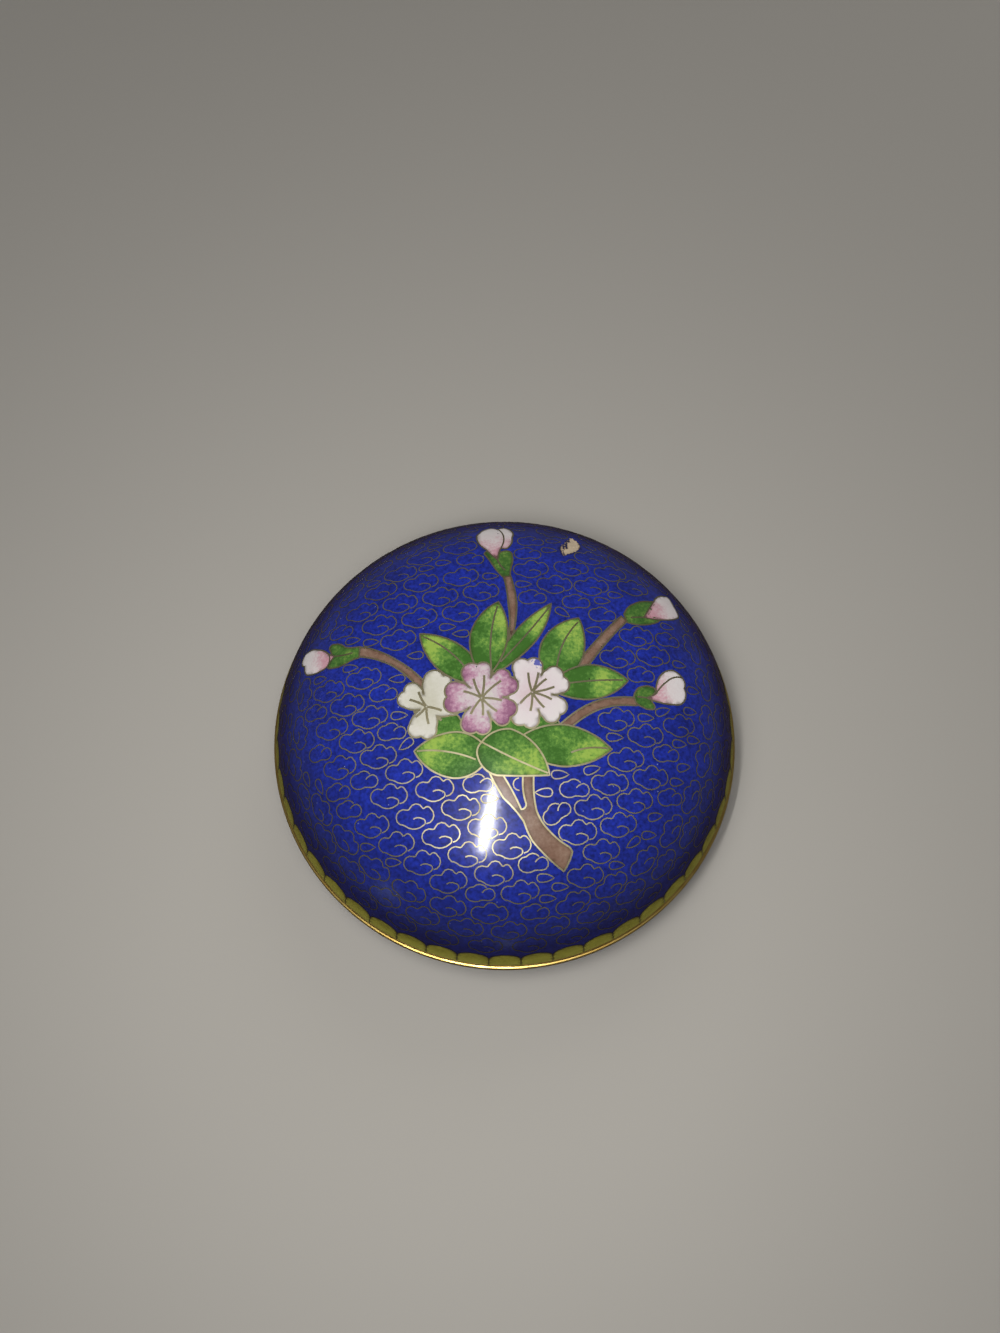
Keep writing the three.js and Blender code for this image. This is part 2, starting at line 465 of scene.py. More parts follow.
def outline_object(name, corners, closed=True, **attributes):
    """A hidden loop or line of edges that a tree sweeps or places."""
    mesh = new_mesh(name, [(*c, 0) for c in corners], line_edges(len(corners), closed),
                    **attributes)
    return bpy.data.objects.new(name, mesh)


def wire_section(name, foot, top):
    """A hidden section for a wire, with its half-widths; its feet are marked as walls."""
    corners = [(-foot, WIRE_FOOT), (foot, WIRE_FOOT), (top, WIRE_TOP), (-top, WIRE_TOP)]
    return outline_object(name, corners, wall=(1.0, 1.0, 0.0, 0.0))


stout_wire = wire_section("stout_wire_section", 0.2, 0.17)
stamen_wire = wire_section("stamen_wire_section", 0.27, 0.24)
SWEPT_INPUTS = {**PIECE_INPUTS, "Section": "Object"}


def swept_wire(tree, given, lines):
    """Ends a tree with lines of edges, swept with the section and laid on the shell."""
    section = put(tree, "GeometryNodeObjectInfo", given.outputs["Section"])
    section_curve = put(tree, "GeometryNodeMeshToCurve", section.outputs["Geometry"])
    # the sweep takes the section upside down
    upright = put(tree, "GeometryNodeTransform", section_curve, at={"Scale": (1.0, -1.0, 1.0)})
    curve = put(tree, "GeometryNodeMeshToCurve", lines)
    level = put(tree, "GeometryNodeSetCurveNormal", curve, mode="Z_UP")
    swept = put(tree, "GeometryNodeCurveToMesh", level, upright, at={"Fill Caps": True})
    return end_tree(tree, given, laid_on(tree, given, swept))


def build_wire_tree():
    tree, given = new_tree("wire_on_shell", SWEPT_INPUTS)
    return swept_wire(tree, given, given.outputs[0])


wire_tree = build_wire_tree()


def wires(name, form, lines, section):
    """Wires bent along drawn lines: each is its points, and whether it closes."""
    verts, edges = [], []
    for points, closed in lines:
        edges += line_edges(len(points), closed, len(verts))
        verts += [(x, y, 0) for x, y in points]
    wire = made(name, new_mesh(name, verts, edges), wire_tree,
                {**form, "Section": section, "Material": wire_metal})
    settle(wire, "gilt_brass")


def arcs(start, *legs, step=0.45, bend=0.45):
    """Points of a line of arcs from start; each leg is (x, y, swell), where swell is the
    arc's rise over its chord, and a positive one bulges to the right of the way. Points are
    no further apart than step, or than the angle bend round an arc."""
    points = [Vector(start)]
    for x, y, swell in legs:
        p, q = points[-1], Vector((x, y))
        chord = (q - p).length
        ahead = (q - p) / chord
        side = Vector((ahead.y, -ahead.x))
        if abs(swell) < 0.005:  # as good as straight
            count = max(1, round(chord / step))
            points += [p.lerp(q, k / count) for k in range(1, count + 1)]
            continue
        rise = swell * chord
        radius = (chord * chord / 4 + rise * rise) / (2 * rise)
        sweep = 4 * math.atan(2 * swell)
        centre = (p + q) / 2 - side * (radius - rise)
        count = max(2, math.ceil(abs(radius * sweep) / step), math.ceil(abs(sweep) / bend))
        for k in range(1, count + 1):
            a = sweep * (k / count - 0.5)
            points.append(centre + radius * (side * math.cos(a) + ahead * math.sin(a)))
    return points


def loop(start, *legs, step=0.45):
    """Arcs that come back to their start, as a closed outline."""
    return arcs(start, *legs, step=step)[:-1]


def holds(outline, point):
    """Whether a closed outline holds a point."""
    x, y = point
    inside = False
    last = outline[-1]
    for this in outline:
        if (this.y > y) != (last.y > y) and \
                x < (last.x - this.x) * (y - this.y) / (last.y - this.y) + this.x:
            inside = not inside
        last = this
    return inside


fences = []  # outlines already laid, front ones first, with their boxes


def fence(outline):
    xs, ys = [p.x for p in outline], [p.y for p in outline]
    fences.append((outline, min(xs), max(xs), min(ys), max(ys)))


def fenced(point):
    return any(x0 <= point.x <= x1 and y0 <= point.y <= y1 and holds(outline, point)
               for outline, x0, x1, y0, y1 in fences)


def clipped(points, closed):
    """The runs of a line that no fence covers, cut where they meet one."""
    line = list(points) + ([points[0]] if closed else [])
    covered = [fenced(p) for p in line]
    if not any(covered):
        return [(points, closed)]
    runs, run = [], []
    for i, point in enumerate(line):
        if i and covered[i] != covered[i - 1]:
            free_end, held_end = (line[i - 1], point) if covered[i] else (point, line[i - 1])
            for _ in range(8):  # halvings, down to a few microns
                middle = (free_end + held_end) / 2
                free_end, held_end = (free_end, middle) if fenced(middle) else (middle, held_end)
            run.append(free_end)
            if covered[i]:
                runs.append(run)
                run = []
        if not covered[i]:
            run.append(point)
    if run:
        if closed and not covered[0] and runs:
            runs[0] = run + runs[0][1:]
        else:
            runs.append(run)
    shortest = 0.9
    return [(r, False) for r in runs if sum((b - a).length for a, b in zip(r, r[1:])) > shortest]


def cell(outline, lift, paint, bed=-0.3, spacing=0.8):
    """A cell's enamel as a flat closed body; paint gives a point its place on the ramp."""
    xs, ys = [p.x for p in outline], [p.y for p in outline]
    flat = [Vector((p.x, p.y)) for p in outline]
    rng = random.Random(5)
    shake, clear = 0.15, 0.35  # of the points inside, which keep this clear of the outline
    y = min(ys) + spacing / 2
    while y < max(ys):
        x = min(xs) + spacing / 2
        while x < max(xs):
            spot = Vector((x + rng.uniform(-shake, shake), y + rng.uniform(-shake, shake)))
            if holds(outline, spot) and min((spot - p).length for p in outline) > clear:
                flat.append(spot)
            x += spacing
        y += spacing
    points, _, tris, *_ = delaunay_2d_cdt(flat, [], [list(range(len(outline)))], 1, 1e-5)
    count = len(points)
    verts = [(p.x, p.y, lift) for p in points] + [(p.x, p.y, bed) for p in points]
    faces = [tuple(t) for t in tris] + [tuple(i + count for i in t[::-1]) for t in tris]
    sides = {(t[i], t[(i + 1) % len(t)]) for t in tris for i in range(len(t))}
    faces += [(b, a, a + count, b + count) for a, b in sides if (b, a) not in sides]
    shades = [paint(p) for p in points]
    rims = [float(k < len(outline)) for k in range(count)]
    return verts, faces, shades + shades, rims + rims


def cell_mesh(name, cells):
    """One mesh of some cells, with the attributes that their enamel is coloured by."""
    verts, faces, shades, rims = [], [], [], []
    for more_verts, more_faces, more_shades, more_rims in cells:
        first = len(verts)
        verts += more_verts
        faces += [tuple(i + first for i in face) for face in more_faces]
        shades += more_shades
        rims += more_rims
    return new_mesh(name, verts, faces=faces, paint=shades, rim=rims)


def inlays(name, form, cells, material, slot):
    """Enamel cells of one colour, laid on a shell as one piece."""
    mesh = cell_mesh(name, cells)
    settle(made(name, mesh, body_tree, {**form, "Material": material}), slot)


PINCH = 1.4  # two petals' wires run side by side this far where they meet
WIDEST_PETAL = math.radians(40)  # to each side of its middle
EDGE_SPOT, EDGE_OUT = 0.86, 0.74  # where a petal is broadest: shares of its width and length
NOTCH_OUT = 0.93  # how far out the notch in its end is, a share of its length


def partings(centre, petals):
    """Where each petal parts from the next, and the way out from there."""
    spots = []
    for (angle, size, share), (following, next_size, _) in zip(petals, petals[1:] + petals[:1]):
        between = math.radians(angle + (following - angle) % 360 / 2)
        way = Vector(polar(between))
        spots.append((Vector(centre) + way * share * (size + next_size) / 2, way))
    return spots


def blossom(centre, petals):
    """A blossom's outline; petals are (degrees, length, share), anticlockwise round the
    centre, and share is how far out along it a petal parts from the next."""
    middle = Vector(centre)

    def at(angle, out):
        return middle + out * Vector(polar(angle))

    turns = [math.radians(angle) for angle, _, _ in petals]
    gaps = [(after - turn) % math.tau / 2 for turn, after in zip(turns, turns[1:] + turns[:1])]
    ends = [spot for spot, _ in partings(centre, petals)]
    legs = []
    for k, (_, size, _) in enumerate(petals):
        to_right, to_left = (EDGE_SPOT * min(gap, WIDEST_PETAL) for gap in (gaps[k - 1], gaps[k]))
        right = at(turns[k] - to_right, EDGE_OUT * size)
        notch = at(turns[k], NOTCH_OUT * size)
        left = at(turns[k] + to_left, EDGE_OUT * size)
        legs += [(*right, 0.09), (*notch, 0.40), (*left, 0.40), (*ends[k], 0.09)]
    return loop(ends[-1], *legs, step=0.5)


def stamens(centre, rays):
    """Lines from a blossom's middle outwards; rays are (degrees, length)."""
    middle = Vector(centre)
    lines = []
    for k, (angle, size) in enumerate(rays):
        way = Vector(polar(math.radians(angle)))
        tip = middle + size * way
        lines.append((arcs(middle + 0.12 * way, (*tip, 0.04 if k % 2 else -0.04)), False))
    return lines


def from_middle(centre, reach):
    """Paint that grows outwards from a blossom's middle, less so in its upper petal."""
    middle = Vector(centre)
    paler = 0.35

    def paint(p):
        out = p - middle
        upper = max(0.0, out.y / (out.length + 0.01)) ** 3
        return out.length / reach * (1 - paler * upper)
    return paint


pink = opaque_enamel("pink_enamel", ["#dbd3cc", "#d8c6ca", "#c797ad", "#9f6b88"], 0.7, 1.3)
white = opaque_enamel("white_enamel", ["#dfc6c8", "#e6d5d7", "#ebe0df", "#ece4e0"], 0.6, 0.6,
                      stain=(6.4, 6.5, 1.1))
cream = opaque_enamel("cream_enamel", ["#cfcbb6", "#dcd8c8", "#e8e3d8"], 0.6, 0.8)

# front to back: name, enamel, lift, middle, petals as in blossom, rays as in stamens
BLOSSOMS = [
    ("blossom_pink", pink, 0.025, (-4.6, -1.1),
     [(38, 7.8, 0.58), (97, 7.7, 0.4), (177, 7.5, 0.38), (262, 7.5, 0.4), (325, 7.4, 0.54)],
     [(112, 4.4), (84.6, 4.8), (43, 5.25), (158, 3.9), (-7.6, 4.0), (-42, 4.1), (-86, 3.6),
      (-122.6, 3.9)]),
    ("blossom_white", white, 0.023, (5.35, 0.1),
     [(29, 7.7, 0.52), (97, 7.4, 0.5), (188, 6.5, 0.55), (256, 7.4, 0.48), (320, 7.6, 0.5)],
     [(100, 4.2), (73, 4.4), (45, 4.1), (16, 4.6), (-20, 4.1), (-53, 3.9), (-96, 3.9),
      (-135, 3.4)]),
    ("blossom_cream", cream, 0.023, (-15.5, -2.6),
     [(63, 7.7, 0.38), (144, 6.2, 0.22), (261, 6.5, 0.42), (12, 6.9, 0.8)],
     [(118, 3.6), (155, 3.8), (-136, 3.0), (-82, 3.6), (-17, 3.2)]),
]
lid_wires = []  # every line of the spray on the lid
stamen_lines = []
PAINT_REACH = 7.0
for name, enamel, lift, centre, petals, rays in BLOSSOMS:
    outline = blossom(centre, petals)
    lid_wires += clipped(outline, True)
    pinches = [(arcs(spot, (*(spot + PINCH * way), 0.0)), False)
               for spot, way in partings(centre, petals)]
    for line, closed in stamens(centre, rays) + pinches:
        stamen_lines += clipped(line, closed)
    fence(outline)
    flower = cell(outline, lift, from_middle(centre, PAINT_REACH))
    inlays(name, LID, [flower], enamel, "blossom_enamel")
wires("stamens", LID, stamen_lines, stamen_wire)

# ------------------------------------------------------------------ leaves
# Nine pointed leaves round the blossoms, each one cell, eight of them with a midrib wire. Two
# greens are packed side by side: yellow-green at one spot, moss green round it.


def leaf(base, tip, right, left, belly):
    """A leaf's outline: its two half-widths, and where it is widest, a share of its length."""
    b, t = Vector(base), Vector(tip)
    size = (t - b).length
    ahead = (t - b) / size
    side = Vector((ahead.y, -ahead.x))
    wide = b + ahead * size * belly

    def swell(width, share):
        return math.tan(math.atan(width / (share * size)) / 2) / 2

    flatter = 0.85  # the arcs to the tip
    return loop(base, (*(wide + side * right), swell(right, belly)),
                (*tip, flatter * swell(right, 1 - belly)),
                (*(wide - side * left), flatter * swell(left, 1 - belly)),
                (*base, swell(left, belly)))


def lit_from(spot, reach):
    """Paint that is lightest at a spot on the leaf, where the paler frit was packed."""
    light = Vector(spot)
    darkest = 0.1
    return lambda p: max(darkest, 1.0 - (p - light).length / reach)


# edge is the painted shade and dirt against the wires
leaf_green = opaque_enamel("leaf_green_enamel", ["#42702a", "#58883a", "#7aa548", "#a0c054"],
                           0.7, 1.9, edge="#33401a")

# front to back: lift, base, tip, half-width right and left, belly, the midrib's ends and
# swell, and the middle and reach of its light part
LEAVES = [
    (0.019, (-3.0, -12.4), (-17.8, -11.5), 4.1, 5.0, 0.45, (-5.7, -13.4), (-17.2, -11.5), 0.06,
     (-13.4, -10.4), 8.0),
    (0.019, (2.0, -9.8), (21.0, -11.0), 4.3, 4.0, 0.5, (12.8, -11.9), (20.3, -10.9), -0.07,
     (17.4, -12.6), 8.5),
    (0.018, (8.5, 1.0), (24.9, 3.5), 3.3, 4.1, 0.53, (11.0, 1.9), (23.8, 3.5), -0.02,
     (20.8, 2.4), 6.0),
    (0.017, (9.6, 1.5), (15.2, 17.0), 3.5, 5.3, 0.49, (10.2, 3.5), (15.0, 16.0), -0.09,
     (13.9, 13.2), 7.0),
    (0.016, (-3.9, 2.8), (-1.3, 20.5), 3.1, 4.5, 0.53, (-2.7, 5.2), (-1.5, 19.4), -0.05,
     (-0.6, 17.0), 9.0),
    (0.015, (-3.4, 3.2), (9.6, 20.3), 2.8, 1.8, 0.57, (-0.9, 6.5), (9.1, 19.3), 0.02,
     (7.8, 17.6), 9.0),
    (0.014, (-3.5, 1.5), (-17.4, 13.4), 3.2, 3.6, 0.52, (-7.6, 5.0), (-16.7, 12.7), 0.065,
     (-15.0, 11.4), 8.5),
]
front_leaf = loop((8.6, -16.4), (1, -7.4, 0.145), (-4.6, -10.1, 0.13), (-5.3, -12.9, 0.15),
                  (-1.6, -16.5, 0.14), (8.6, -16.4, 0.015))
front_rib = arcs((-4.5, -10), (8.3, -16, 0.02))
leaf_cells = []


def lay_leaf(outline, rib, lift, paint):
    lid_wires.extend(clipped(outline, True))
    if rib:
        lid_wires.extend(clipped(rib, False))
    fence(outline)
    leaf_cells.append(cell(outline, lift, paint))


lay_leaf(front_leaf, front_rib, 0.021, lit_from((5.0, -15.0), 9.5))
for lift, base, tip, right, left, belly, rib_from, rib_to, swell, light, reach in LEAVES:
    lay_leaf(leaf(base, tip, right, left, belly), arcs(rib_from, (*rib_to, swell)), lift,
             lit_from(light, reach))
# the leaf behind all of these, whose dark green fills the gaps round the blossoms
lay_leaf(loop((-14, -9.2), (-4.4, -10.2, 0.03), (4.5, -8.9, 0.0), (11.2, -6.9, 0.0),
              (9.5, -4.5, 0.0), (1, -2, 0.0), (-6, -4.5, 0.0), (-8.7, -5.5, 0.0),
              (-10.9, -4.2, 0.2), (-13.8, -6.3, 0.15), (-14, -9.2, 0.05)),
         None, 0.01, lambda p: 0.2)
inlays("leaves", LID, leaf_cells, leaf_green, "leaf_enamel")

# ------------------------------------------------------------------ buds
# Four buds on long stalks, still closed: pale petals, pink near the root, each bud held by a
# forked green calyx. Petals and calyx are a cell each, with wires for the folds.

bud_white = opaque_enamel("bud_enamel", ["#cd8d9c", "#d9a8b2", "#ebdedd", "#f0e8e6"], 0.5, 0.7)
# edge is the painted shade and dirt against the wires
calyx_green = opaque_enamel("calyx_enamel", ["#38602a", "#4f7a34", "#7d9c48"], 0.6, 1.9,
                            edge="#2f3d1a")


def along(root, end):
    """Paint that grows from the petals' root to their end."""
    b, t = Vector(root), Vector(end)
    ahead = (t - b) / (t - b).length_squared
    return lambda p: (p - b).dot(ahead)


# each bud: its petals, the calyx behind them, where the paint starts and ends, and the
# petals' folds and the calyx's rib
BUDS = [
    (loop((-35.8, 10.3), (-37.5, 11.3, 0.0), (-40.9, 13.3, 0.06), (-45.0, 13.9, 0.1),
          (-44.5, 10.3, 0.35), (-43.2, 7.7, 0.12), (-38.6, 7.6, 0.08), (-37.1, 8.7, 0.12),
          (-35.8, 10.3, 0.0)),
     loop((-30, 11.6), (-33.4, 12.0, -0.06), (-36.2, 13.3, 0.1), (-37.4, 12.5, 0.3),
          (-36.2, 10.3, 0.0), (-37.2, 8.5, 0.0), (-36.7, 7.6, 0.3), (-32.5, 8.2, 0.08),
          (-30, 9.0, -0.06), (-30, 11.6, 0.0)),
     (-35.5, 10.5), (-44, 11), [arcs((-37.5, 11.3), (-37.1, 8.7, -0.12))],
     arcs((-35.8, 10.3), (-31.5, 10.4, 0.05))),
    (loop((-1.5, 31.4), (-0.8, 35.0, -0.04), (0.5, 34.9, 0.12), (1.6, 38.8, 0.12),
          (-0.2, 43.8, 0.2), (-1.6, 42.9, 0.06), (-3.0, 43.7, 0.06), (-5.6, 41.3, 0.15),
          (-6.2, 39.0, 0.12), (-4.0, 34.6, 0.1), (-1.5, 31.4, 0.03)),
     loop((1.15, 27.0), (1.5, 30.0, -0.04), (1.6, 32.8, 0.06), (0.5, 34.2, 0.2),
          (-1.3, 33.4, 0.1), (-1.6, 32.2, 0.0), (-3.1, 34.0, 0.0), (-4.4, 33.2, 0.3),
          (-2.4, 29.7, -0.02), (-0.45, 26.8, 0.02), (1.15, 27.0, 0.0)),
     (-1.5, 31), (-2.2, 42), [arcs((-1.5, 43.0), (-0.8, 35.1, -0.12))],
     arcs((-1.5, 31.4), (0.1, 28.6, 0.06))),
    (loop((29.3, 18.6), (35.1, 19.4, 0.05), (38.6, 21.3, 0.05), (39.0, 23.2, 0.2),
          (38.1, 27.3, 0.03), (36.6, 27.4, 0.25), (32.6, 24.0, 0.1), (29.3, 18.6, 0.0)),
     loop((25.5, 16.8), (28.5, 16.6, 0.05), (31.3, 17.4, 0.04), (33.7, 19.4, 0.08),
          (30.4, 19.2, 0.0), (32.8, 23.4, 0.0), (31.6, 23.5, 0.25), (27.4, 21.8, 0.06),
          (24.9, 18.6, 0.1), (25.5, 16.8, 0.0)),
     (29.5, 19), (37.5, 25), [], arcs((29.3, 18.6), (26.4, 18.1, 0.03))),
    (loop((28.5, 0.1), (31.5, -0.7, 0.04), (34.8, -0.8, 0.04), (37.5, 1.2, 0.18),
          (37.3, 3.1, 0.12), (37.0, 5.5, 0.2), (34.5, 6.8, 0.12), (31.3, 4.3, 0.12),
          (30.7, 1.2, 0.06), (28.5, 0.1, -0.05)),
     loop((26.2, -0.9), (27.7, -2.0, 0.1), (29.5, -2.3, 0.1), (30.2, -1.5, 0.35),
          (29.3, 0.1, 0.0), (30.5, 1.3, 0.0), (29.7, 2.5, 0.3), (28.1, 2.5, 0.1),
          (26.4, 1.4, 0.12), (25.9, 0.2, 0.05), (26.2, -0.9, 0.0)),
     (28, 0), (36.5, 3.5), [arcs((30.8, 1.3), (33.2, 4.0, -0.05), (37.3, 5.5, -0.12))],
     arcs((28.5, 0.1), (26.6, 0.2, 0.0))),
]
calyx_cells, bud_cells = [], []
for petals, green, root, end, folds, rib in BUDS:
    lid_wires += clipped(petals, True)
    for fold in folds:
        lid_wires += clipped(fold, False)
    fence(petals)
    bud_cells.append(cell(petals, 0.018, along(root, end)))
    lid_wires += clipped(green, True) + clipped(rib, False)
    fence(green)
    calyx_cells.append(cell(green, 0.016, lambda p: 0.45))
inlays("calyxes", LID, calyx_cells, calyx_green, "leaf_enamel")
inlays("buds", LID, bud_cells, bud_white, "blossom_enamel")

# ------------------------------------------------------------------ branch
# A forked brown branch, cut off square at the front, and four thin stalks to the buds. Each
# is one cell of brown enamel that ends against the wire of what lies before it.

bark = opaque_enamel("brown_enamel", ["#6f5040", "#856655", "#937765", "#a48c79"], 0.6, 1.0)


def stalk(controls, widths):
    """A stalk's outline along a four-point curve, with its widths from end to end."""
    a, b, c, d = (Vector(p) for p in controls)
    count = 26  # parts that the curve is split into
    right, left = [], []
    for k in range(count + 1):
        t = k / count
        s = 1 - t
        spot = a * s ** 3 + 3 * b * s * s * t + 3 * c * s * t * t + d * t ** 3
        way = ((b - a) * s * s + 2 * (c - b) * s * t + (d - c) * t * t).normalized()
        place = t * (len(widths) - 1)
        low = min(int(place), len(widths) - 2)
        half = (widths[low] + (widths[low + 1] - widths[low]) * (place - low)) / 2
        side = Vector((way.y, -way.x)) * half
        right.append(spot + side)
        left.append(spot - side)
    return right + left[::-1]


branches = [
    stalk(((-30.2, 10.4), (-25, 9.5), (-19.5, 6), (-15.2, 0.4)), (2.3, 1.5, 1.7)),
    stalk(((0.4, 27.2), (1.5, 23.5), (2.3, 17), (0.85, 10.4)), (1.5, 1.8, 0.5)),
    stalk(((24.9, 17.7), (20.5, 13.2), (18.0, 9.6), (14.4, 4.9)), (1.7, 2.2)),
    stalk(((26.6, -0.9), (20.5, -0.9), (16.5, -1.8), (10.2, -8.2)), (1.7, 1.9)),
    loop((-0.7, -15.6), (-3.2, -15.6, 0), (-0.3, -20.9, 0.02), (3.6, -25.3, -0.03),
         (5.2, -28.9, 0.03), (11.4, -34.7, 0.03), (13, -31.0, 0.04), (12.2, -29.9, 0.1),
         (8.6, -27.1, -0.04), (6, -23.1, -0.06), (5.6, -15.6, -0.04), (3.6, -15.6, 0),
         (3.9, -21.5, 0.06), (3.1, -23, -0.3), (-0.4, -16.5, 0.02), (-0.7, -15.6, 0)),
]
branch_cells = []
for outline in branches:
    lid_wires += clipped(outline, True)
    fence(outline)
    branch_cells.append(cell(outline, 0.012, lambda p: 0.5))
inlays("branches", LID, branch_cells, bark, "branch_enamel")

wires("spray_wires", LID, lid_wires, stout_wire)

# ------------------------------------------------------------------ chip in the lid
# At the back a flake of the enamel is gone: a shallow scoop down to the pale first coat,
# with a bruised strip of blue beside it.

pale_ground = [(13.3, 33.6), (13.9, 34.4, 0.05), (14.9, 35.1, -0.1), (16.3, 36.6, 0.1),
               (16.9, 38.2, 0.12), (16.3, 40.2, 0.1), (15.2, 41.6, 0.05), (14.6, 39.3, -0.08),
               (14.3, 37.3, 0.1), (13.0, 36.0, -0.1), (13.3, 33.6, 0.05)]
bare = loop(*pale_ground, step=0.3)
flake = loop((12.9, 33.3), (14.2, 34.3, -0.05), (15.2, 35.0, 0.05), (16.5, 36.5, 0.08),
             (17.1, 38.3, 0.1), (16.5, 40.4, 0.1), (15.2, 42.0, 0.08), (14.2, 40.0, -0.06),
             (13.5, 38.4, 0.06), (12.3, 36.9, 0.0), (12.2, 35.0, 0.1), (12.9, 33.3, 0.08),
             step=0.3)
cut_verts, cut_faces, *_ = cell(flake, 0.4, lambda p: 0.0, bed=-0.42, spacing=5)
cutter = made("flake_cutter", new_mesh("flake_cutter", cut_verts, faces=cut_faces), body_tree,
              {**LID, "Material": cobalt})
cut = lid_enamel.modifiers.new("cut", "BOOLEAN")
cut.object, cut.solver = cutter, "EXACT"
keep_result(lid_enamel)
bpy.data.objects.remove(cutter)
settle(lid_enamel, "cobalt_enamel", "lid_dome")


def broken_enamel():
    # fired ground bared by a break: matt, sandy cream with darker pits, next to blue glass
    # crushed paler along its edge; attribute paint runs from the blue to the cream
    material, tree = new_material("broken_enamel")
    place = put(tree, "TexCoord").outputs["Object"]
    paint = put(tree, "Attribute", attribute_name="paint").outputs["Fac"]
    sand = put(tree, "TexNoise", at={"Vector": place, "Scale": 1 / (0.5 * MM), "Detail": 5.0,
                                     "Roughness": 0.7})
    mixed = put(tree, "Math", sand, 0.5, paint, operation="MULTIPLY_ADD")
    colour = put(tree, "ValToRGB", mixed, stops=[
        (0.3, linear("#141d4c")), (0.5, linear("#4d4a5c")), (0.75, linear("#a88f73")),
        (1.0, linear("#dac6a8"))])
    grit = put(tree, "Bump", at={"Strength": 0.8, "Distance": 0.1 * MM, "Height": sand})
    shader = put(tree, "BsdfPrincipled", at={
        "Base Color": colour, "Roughness": 0.75, "Normal": grit})
    put(tree, "OutputMaterial", shader)
    return material


chip_rng = random.Random(3)


def scooped(point):
    """How deep the break is at a point: a few hundredths at its edge, then a scoop."""
    edge, scoop, slope, rough = 0.06, 0.24, 0.8, 0.03
    inwards = min((point - p).length for p in flake)
    return -edge - scoop * min(1.0, inwards / slope) + chip_rng.uniform(-rough, rough)


def bared(point):
    """Paint that is pale on the bare ground, and streaked beside it."""
    if holds(bare, point):
        return 0.9
    return 0.7 * (abs(1.3 * point.x % 1 - 0.5) < 0.15)


chip_verts, chip_faces, chip_paint, _ = cell(flake, 0.0, bared, bed=-0.55, spacing=0.3)
chip_verts = [(x, y, scooped(Vector((x, y))) if z > -0.1 else z) for x, y, z in chip_verts]
chip_mesh = new_mesh("chip", chip_verts, faces=chip_faces, paint=chip_paint)
chip = made("chip", chip_mesh, body_tree, {**LID, "Material": broken_enamel()}, crease=20)
settle(chip, "cobalt_enamel")
fence(flake)

# ------------------------------------------------------------------ lid's cloud scrolls
# The blue ground is divided everywhere by small curled clouds, which also keep the enamel
# from cracking. They stand in slanting rows, turn to follow the edge in the outer rows,
# and small scrolls and drops fill the gaps.

fine_wire = wire_section("fine_wire_section", 0.15, 0.12)
CLOUD, SMALL, DROP, HOOK = range(4)
SCROLL_LINES = [
    ("cloud", [(2.15, -1.45), (3.05, 1.35, 0.34), (1.75, 1.5, 0.3), (1.35, 1.65, -0.2),
               (-1.1, 1.6, 0.32), (-1.7, 1.25, -0.2), (-3.1, -1.45, 0.47), (-2.1, -1.75, -0.05),
               (1.55, -1.75, 0.18), (1.35, -0.45, 0.38), (-0.45, -0.5, 0.14)], False),
    ("small_cloud", [(1.35, 1.15), (-1.15, 1.3, 0.24), (-2.0, -1.5, 0.42), (0.3, -1.4, 0.13),
                     (1.7, -1.5, -0.03), (2.0, 1.0, 0.47), (0.5, 0.15, 0.12)], False),
    ("drop", [(1.75, 0.05), (-0.7, 0.85, 0.1), (-0.8, -0.8, 0.55), (1.75, 0.05, 0.08)], True),
    ("hook", [(0.5, 1.2), (-0.6, 0.0, 0.2), (0.6, -1.2, 0.2)], False),
]
SCROLLS = [outline_object(name, arcs(*line, step=0.85, bend=0.62)[:-1 if closed else None],
                          closed)
           for name, line, closed in SCROLL_LINES]
SHAPES = [arcs(*line, step=0.3) for _, line, _ in SCROLL_LINES]  # finer, for finding room


def build_scroll_tree():
    """Sets the kinds of scroll on points, by their attributes, and lays them."""
    kinds = {f"Scroll {k}": "Object" for k in range(len(SCROLLS))}
    tree, given = new_tree("scrolls_on_shell", {**SWEPT_INPUTS, **kinds})
    kind = put(tree, "GeometryNodeInputNamedAttribute", "kind", data_type="INT")
    turn = put(tree, "GeometryNodeInputNamedAttribute", "turn", data_type="FLOAT")
    rotation = put(tree, "CombineXYZ", at={2: turn})
    joined = put(tree, "GeometryNodeJoinGeometry")
    for k in range(len(SCROLLS)):
        chosen = put(tree, "FunctionNodeCompare", at={2: kind, 3: k}, data_type="INT",
                     operation="EQUAL")
        scroll = put(tree, "GeometryNodeObjectInfo", given.outputs[f"Scroll {k}"])
        placed = put(tree, "GeometryNodeInstanceOnPoints", given.outputs[0], chosen,
                     scroll.outputs["Geometry"], at={"Rotation": rotation})
        tree.links.new(placed.outputs[0], joined.inputs[0])
    real = put(tree, "GeometryNodeRealizeInstances", joined)
    return swept_wire(tree, given, real)


scroll_tree = build_scroll_tree()


